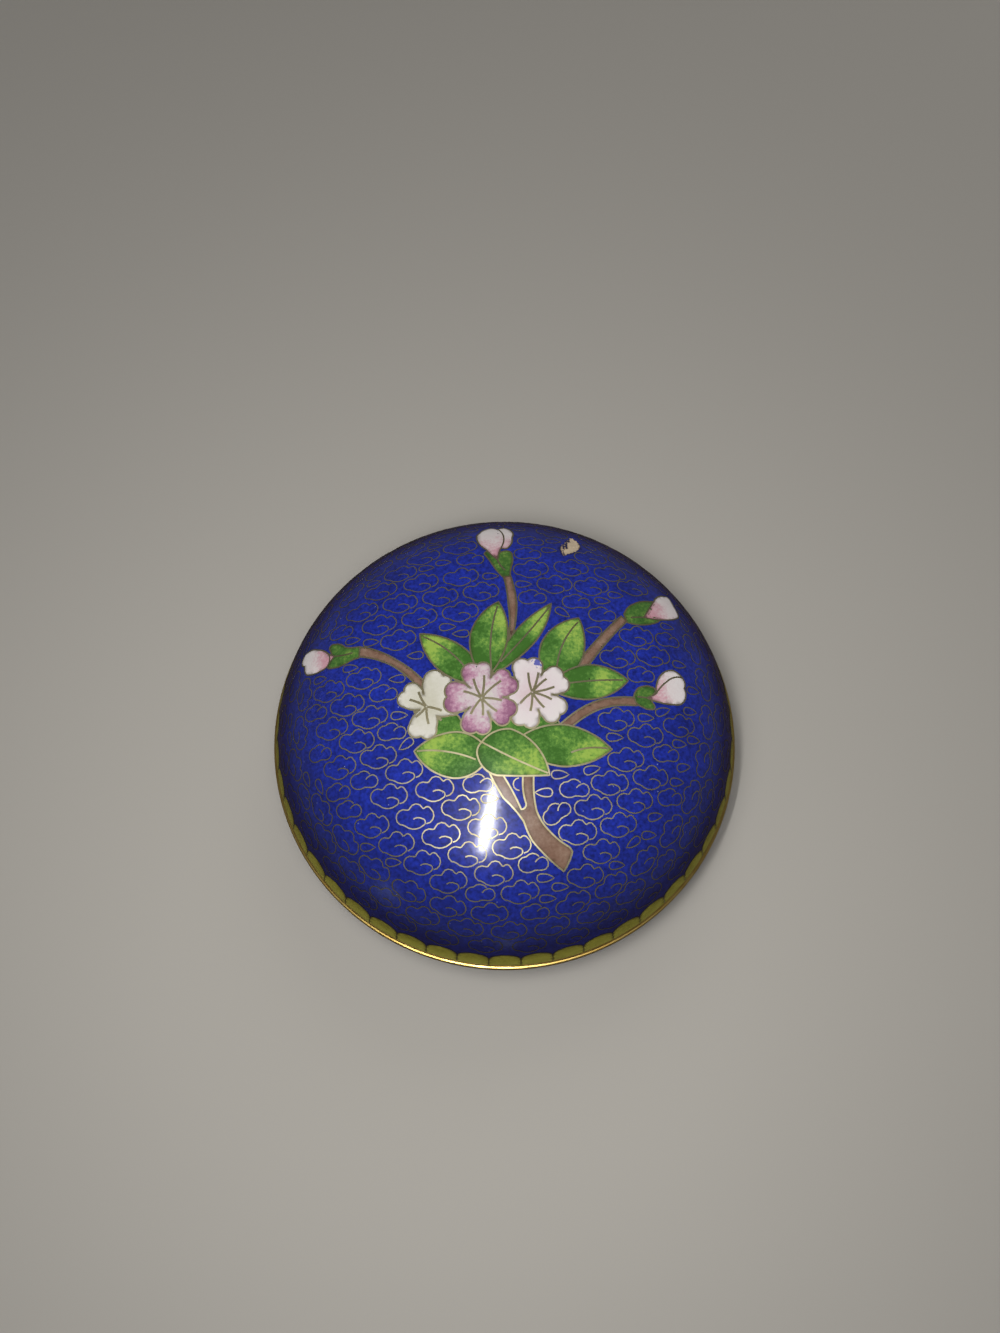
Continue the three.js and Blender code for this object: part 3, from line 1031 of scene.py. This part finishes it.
class Ground:
    """The scrolls set on one shell's ground, and where there is room for more."""

    def __init__(self, rng):
        self.rng = rng
        self.spots = []
        self.taken = {}

    def cells_near(self, point, reach):
        for i in range(math.floor(point.x - reach), math.floor(point.x + reach) + 1):
            for j in range(math.floor(point.y - reach), math.floor(point.y + reach) + 1):
                yield from self.taken.get((i, j), ())

    def block(self, points):
        for p in points:
            self.taken.setdefault((math.floor(p.x), math.floor(p.y)), []).append(p)

    def room(self, points, gap):
        return not any(fenced(p) or any((p - q).length < gap for q in self.cells_near(p, gap))
                       for p in points)

    def crowded(self, place, least):
        """Whether a scroll is already set nearer to a place than this."""
        return any(math.dist(place, spot) < least for _, spot, _ in self.spots)

    def set(self, kind, place, turn, gap, slack=0.0):
        """Sets a scroll if there is room, after a nudge of up to slack."""
        nudges = [(0.0, 0.0)]
        if slack:
            nudges += [polar(math.tau * k / 8, out)
                       for out in (slack / 3, slack / 1.5, slack) for k in range(8)]
        cos, sin = polar(turn)
        for dx, dy in nudges:
            x, y = place[0] + dx, place[1] + dy
            points = [Vector((x + cos * p.x - sin * p.y, y + sin * p.x + cos * p.y))
                      for p in SHAPES[kind]]
            if self.room(points, gap):
                self.spots.append((kind, (x, y), turn))
                self.block(points)
                return

    def ring(self, out, count, first, gap, slack):
        """Sets clouds round the middle, the first one at the angle first, in degrees."""
        for k in range(count):
            angle = math.radians(first + 360 * k / count)
            wobble = math.radians(self.rng.uniform(-5, 5))
            self.set(CLOUD, polar(angle, out), angle + math.pi / 2 + wobble, gap, slack)

    def piece(self, name, form):
        kinds, places, turns = zip(*self.spots)
        mesh = new_mesh(name, [(*place, 0) for place in places], kind=kinds, turn=turns)
        sizes = {f"Scroll {k}": scroll for k, scroll in enumerate(SCROLLS)}
        clouds = made(name, mesh, scroll_tree,
                      {**form, **sizes, "Section": fine_wire, "Material": wire_metal})
        settle(clouds, "gilt_brass")


lid_ground = Ground(random.Random(11))
for outline, *_ in fences:
    lid_ground.block(outline)

# pieces round the spray: kind, place, degrees
FILLERS = [
    (DROP, (-11.7, 14.6), 0), (DROP, (-8.8, 12.9), 180), (DROP, (-18.1, 8.55), 180),
    (DROP, (-15.2, 5.5), 0), (DROP, (-21.5, 3.8), 180), (DROP, (-19, -9.6), 215),
    (DROP, (11.8, 18.1), -35), (DROP, (3.9, 24.9), 0), (DROP, (18.2, 13.75), 180),
    (DROP, (31.7, -2.6), 20), (DROP, (21.6, -8.6), 0), (DROP, (-27.8, 12.1), 0),
    (DROP, (-31.8, 6.8), 0), (DROP, (10.4, -16.3), 0), (DROP, (16.9, -15.2), 15),
    (DROP, (7.3, -19.7), 180), (DROP, (30, -23.9), 10), (DROP, (36.4, -13.7), 10),
    (DROP, (25.4, -29), 215), (SMALL, (5.4, 21.7), 0), (SMALL, (20.1, 17.85), 0),
    (SMALL, (27.5, 5), 0), (SMALL, (-24.1, 0.3), 0), (SMALL, (-39.6, -1.8), 0),
    (SMALL, (-22.5, -7.4), 0), (SMALL, (-38.2, -10.6), 0), (SMALL, (-33.9, -18.8), 5),
    (SMALL, (-5, -39), 0), (SMALL, (5.3, -33.1), 5), (SMALL, (5.9, -43), 0),
    (SMALL, (33.2, -19.9), 0), (SMALL, (-5.2, -18.2), 0), (SMALL, (9.8, -23.6), 32),
    (SMALL, (4.2, 33.5), 0), (SMALL, (-7.5, 31.9), 0), (HOOK, (2.15, -18.2), 0),
]
for kind, place, turn in FILLERS:
    lid_ground.set(kind, place, math.radians(turn), 0.25, 0.6)

# rows of clouds: a cloud's place, the steps across and down, and the sector they fill
FIELDS = [
    ((-13.55, -18.95), (5.1, -3.65), (-3.85, -5.2), -136, -80),
    ((27.25, -6.95), (5.1, -3.3), (-3.35, -5.13), -80, 0),
    ((26.55, 13.75), (3.8, -4.2), (-4.1, -4.7), 0, 40),
    ((10.55, 25.15), (4.9, -3.9), (-3.8, -4.8), 40, 88),
    ((-17.55, 17.25), (4.3, -3.95), (-4.2, -4.9), 88, 165),
    ((-29.95, -8.85), (5.3, -3.1), (-3.3, -5.05), 165, 224),
]
LATTICE_END = 40.6
CLOUD_GAP = 0.35

# rings of clouds: how far out, how many, and the first one's angle
for out, count, first in ((43.4, 32, -94), (47.5, 33, -88.9), (52.0, 34, -84)):
    lid_ground.ring(out, count, first, CLOUD_GAP, 0.9)
for place, across, down, low, high in FIELDS:
    for i in range(-14, 15):
        for j in range(-14, 15):
            x = place[0] + i * across[0] + j * down[0]
            y = place[1] + i * across[1] + j * down[1]
            angle = math.degrees(math.atan2(y, x))
            inside = low <= angle < high or low <= angle + 360 < high
            if not inside or math.hypot(x, y) > LATTICE_END:
                continue
            if not lid_ground.crowded((x, y), 3.9):
                turn = math.radians(lid_ground.rng.uniform(-4, 4))
                lid_ground.set(CLOUD, (x, y), turn, CLOUD_GAP, 1.2)
# what room is left takes small scrolls and drops, turned to the edge beyond the lattice
GROUND_END, TURNED_FROM = 53.5, 42
for kind, pitch in ((SMALL, 0.7), (DROP, 0.6)):
    for i in range(-80, 81):
        for j in range(-80, 81):
            x, y = i * pitch, j * pitch
            out = math.hypot(x, y)
            if out < GROUND_END and not lid_ground.crowded((x, y), 3.3):
                turn = math.atan2(y, x) + math.pi / 2 if out > TURNED_FROM else 0.0
                lid_ground.set(kind, (x, y), turn, 0.45)
lid_ground.piece("lid_cloud_wires", LID)

# ------------------------------------------------------------------ lid's border
# A row of round-topped lappets in olive-yellow enamel stands on the brass band. Each is one
# cell in a bent wire, and the wires of neighbours touch.

LAPPETS = 48
lappet_enamel = opaque_enamel("lappet_enamel", ["#827c2c", "#a5a03e", "#bdb850"], 0.5, 0.8)


def lappet(mouth, top):
    """One lappet's line, from its lower left corner over its round top, and its foot."""
    half = math.pi / LAPPETS
    round_share, steps = 0.45, 10  # the round top's share of the height, and its parts
    shoulder = top + (mouth - top) * round_share

    def at(turn, out):
        return Vector(polar(turn - math.pi / 2, out))

    points = [at(-half, mouth), at(-half, (mouth + shoulder) / 2)]
    for k in range(steps + 1):
        a = math.pi * k / steps
        points.append(at(-half * math.cos(a), shoulder - (shoulder - top) * math.sin(a) ** 0.8))
    points.append(at(half, (mouth + shoulder) / 2))
    foot = [at(half * (1 - k / 4), mouth) for k in range(8)]
    return points, foot


def build_ring_tree():
    """Repeats what is drawn round the middle, and lays it on the shell."""
    tree, given = new_tree("ring_on_shell", {**PIECE_INPUTS, "Count": "Int"})
    count = given.outputs["Count"]
    circle = put(tree, "GeometryNodePoints", count)
    part = put(tree, "Math", put(tree, "GeometryNodeInputIndex"), count, operation="DIVIDE")
    angle = put(tree, "Math", part, math.tau, operation="MULTIPLY")
    turn = put(tree, "CombineXYZ", at={2: angle})
    placed = put(tree, "GeometryNodeInstanceOnPoints", circle,
                 at={"Instance": given.outputs[0], "Rotation": turn})
    real = put(tree, "GeometryNodeRealizeInstances", placed)
    return end_tree(tree, given, laid_on(tree, given, real))


ring_tree = build_ring_tree()


def border(name, form, mouth, top):
    """The lappets and their wires round a shell's mouth."""
    line, foot = lappet(mouth, top)
    # clockwise in the drawing, so it is turned round for the cell
    fill = cell((line + foot)[::-1], 0.012, lambda p: (p.length - top) / (mouth - top),
                spacing=0.9)
    lappets = made(name + "_lappets", cell_mesh(name, [fill]), ring_tree,
                   {**form, "Count": LAPPETS, "Material": lappet_enamel})
    settle(lappets, "leaf_enamel")
    lines = []
    for k in range(LAPPETS):
        cos, sin = polar(math.tau * k / LAPPETS)
        turned_line = [Vector((cos * p.x - sin * p.y, sin * p.x + cos * p.y)) for p in line]
        lines.append((turned_line, False))
    wires(name + "_lappet_wires", form, lines, fine_wire)


LAPPET_TOP = 55.2  # from the crown's middle, along the skin
border("lid", LID, along_skin(LID, lid_depth), LAPPET_TOP)

# ------------------------------------------------------------------ brass bands
# Brass bands soldered round the two mouths, turned true and gilt. The lower one carries the
# upright collar that centres the lid.

gilt = bright_metal("gilt_brass", "#e4c470", "#bd9648", 0.27, 0.25)


def turned(name, node, profile, around=256):
    """A gilt ring turned from a closed profile of (radius, height), in place of a CAD node."""
    verts, faces = [], []
    count = len(profile)
    for i in range(around):
        j = (i + 1) % around
        for k, (radius, height) in enumerate(profile):
            m = (k + 1) % count
            verts.append((*polar(math.tau * i / around, radius * MM), height * MM))
            faces.append((i * count + k, j * count + k, j * count + m, i * count + m))
    mesh = new_mesh(name, verts, faces=faces)
    mesh.materials.append(gilt)
    mesh.shade_smooth()
    mesh.set_sharp_from_angle(angle=math.radians(35))
    piece = bpy.data.objects.new(name, mesh)
    bpy.context.scene.collection.objects.link(piece)
    settle(piece, "gilt_brass", node)


def rounded(corner, start, radius=0.28, steps=4):
    """A rounded corner: a quarter circle from the angle start, in degrees, anticlockwise."""
    a = math.radians(start)
    (x, y), (ax, ay), (bx, by) = corner, polar(a, radius), polar(a + math.pi / 2, radius)
    bend = [polar(a + math.pi / 2 * k / steps, radius) for k in range(steps + 1)]
    return [(x - ax - bx + px, y - ay - by + py) for px, py in bend]


lid_low, lid_high = (v.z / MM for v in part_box("lid_rim"))
lid_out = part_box("lid_rim")[1].x / MM
BAND_DEPTH = 2.7
turned("lid_band", "lid_rim", [
    (lid_out - BAND_DEPTH, lid_low), *rounded((lid_out, lid_low), -90),
    *rounded((lid_out, lid_high), 0), (lid_out - BAND_DEPTH, lid_high)])

base_low, collar_top = (v.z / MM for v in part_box("base_rim"))
base_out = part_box("base_rim")[1].x / MM
COLLAR_OUT, COLLAR_IN = 46.8, 45.9
COLLAR_FOOT = 1.2  # the collar's inside widens by this at the band's lower edge
turned("bowl_band", "base_rim", [
    (COLLAR_IN + COLLAR_FOOT, base_low), *rounded((base_out, base_low), -90),
    *rounded((base_out, lid_low), 0), (COLLAR_OUT, lid_low),
    *rounded((COLLAR_OUT, collar_top), 0), *rounded((COLLAR_IN, collar_top), 90, 0.25),
    (COLLAR_IN, lid_low - 0.3)])

# ------------------------------------------------------------------ the bowl
# Spun and enamelled as the lid is, with the same clouds and lappets, plainer; it is turquoise
# inside and under the foot. The foot is a turned brass ring soldered below.

BOWL = shell_form(400.0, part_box("base_bowl")[0].z / MM, -1.0)
bowl_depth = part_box("base_bowl")[1].z / MM - BOWL["Crown height"]
FOOT_MIDDLE = 28.5  # where the cobalt meets the turquoise, hidden by the foot ring
settle(coat("bowl_enamel", BOWL, bowl_depth, 0.0, -OUTER_COAT, cobalt, 28, FOOT_MIDDLE),
       "cobalt_enamel", "base_bowl")
settle(coat("bowl_underside", BOWL, bowl_depth, 0.0, -OUTER_COAT, turquoise, 16, 0.0,
            FOOT_MIDDLE), "turquoise_enamel")
lined("bowl", BOWL, bowl_depth)

bowl_mouth = along_skin(BOWL, bowl_depth)
LAPPET_HEIGHT = 5.2
border("bowl", BOWL, bowl_mouth, bowl_mouth - LAPPET_HEIGHT)

fences.clear()
bowl_ground = Ground(random.Random(12))
# rings of clouds: how far out, how many, and the first one's angle
for out, count, first in ((34.0, 26, 0), (38.6, 28, 5), (43.2, 31, 2), (47.8, 33, 8),
                          (52.3, 34, 3)):
    bowl_ground.ring(out, count, first, 0.2, 0.6)
bowl_ground.piece("bowl_cloud_wires", BOWL)

FOOT_IN = 27.4
foot_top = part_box("foot_ring")[1].z / MM
foot_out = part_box("foot_ring")[1].x / MM
turned("foot", "foot_ring", [
    (FOOT_IN, 0.0), *rounded((foot_out, 0.0), -90, 0.3), (foot_out, foot_top),
    (FOOT_IN, foot_top - 0.45)])

# ------------------------------------------------------------------ floor, light, camera
# A pale floor that runs on past the view, one small soft lamp beside the camera, weak ones
# above and low at the sides, and faint fill from the room.

HALF_FLOOR = 3.0
floor_mesh = new_mesh("floor", [(x * HALF_FLOOR, y * HALF_FLOOR, 0) for x, y in (
    (-1, -1), (1, -1), (1, 1), (-1, 1))], faces=[(0, 1, 2, 3)])
floor = bpy.data.objects.new("floor", floor_mesh)
bpy.context.scene.collection.objects.link(floor)
# pale matt board, for the floor
floor_material, board = new_material("pale_floor")
put(board, "OutputMaterial", put(board, "BsdfPrincipled", at={
    "Base Color": linear("#cbc6bd"), "Roughness": 0.8}))
floor_mesh.materials.append(floor_material)
floor.visible_glossy = False  # the box stands as if in a darker room

CAMERA_TILT = math.radians(69.29)  # below the level
CAMERA_PLACE = Vector((-0.00099, -0.06754, SEAM * MM + 0.2187))
camera_data = bpy.data.cameras.new("camera")
camera_data.lens = 28.087
camera_data.sensor_width = 36.0
camera_data.clip_start = 0.01
camera = bpy.data.objects.new("camera", camera_data)
camera.location = CAMERA_PLACE
camera.rotation_euler = (math.pi / 2 - CAMERA_TILT, 0, 0)
bpy.context.scene.collection.objects.link(camera)
bpy.context.scene.camera = camera


def lamp(name, size, power, place, glossy=False):
    """A soft oval lamp, width and height in size, that points at the box's middle."""
    data = bpy.data.lights.new(name, "AREA")
    data.shape = "ELLIPSE"
    data.size, data.size_y = size
    data.energy = power
    light = bpy.data.objects.new(name, data)
    light.location = place
    way = Vector((0, 0, SEAM * MM)) - Vector(place)
    light.rotation_euler = way.to_track_quat("-Z", "Y").to_euler()
    light.visible_glossy = glossy
    bpy.context.scene.collection.objects.link(light)


# the key's soft light and the narrow gleam of it come from two lamps in one place
KEY_PLACE = CAMERA_PLACE + Vector((-0.016, 0.0, 0.005))
lamp("key", (0.08, 0.08), 0.17, KEY_PLACE)
lamp("key_sparkle", (0.003, 0.055), 0.17, KEY_PLACE, glossy=True)
lamp("fill", (0.5, 0.5), 0.65, (0.15, 0.5, 0.6))
lamp("low_left", (0.4, 0.2), 0.3, (-0.55, 0.2, 0.12))
lamp("low_right", (0.4, 0.2), 0.3, (0.5, 0.35, 0.12))

# the room: an even grey, darker and browner below, where the shiny shoulder mirrors it
world = bpy.data.worlds.new("room")
world.use_nodes = True
room = world.node_tree
room.nodes.clear()
way = put(room, "TexCoord").outputs["Generated"]
height = put(room, "MapRange", put(room, "SeparateXYZ", way).outputs[2], -1.0, 1.0)
tint = put(room, "ValToRGB", height, stops=[
    (0.25, (0.05, 0.036, 0.024, 1.0)), (0.38, (0.13, 0.13, 0.13, 1.0)),
    (0.8, (0.1, 0.1, 0.1, 1.0))])
put(room, "OutputWorld", put(room, "Background", tint, 1.0))
bpy.context.scene.world = world
bpy.context.scene.view_settings.view_transform = "Standard"
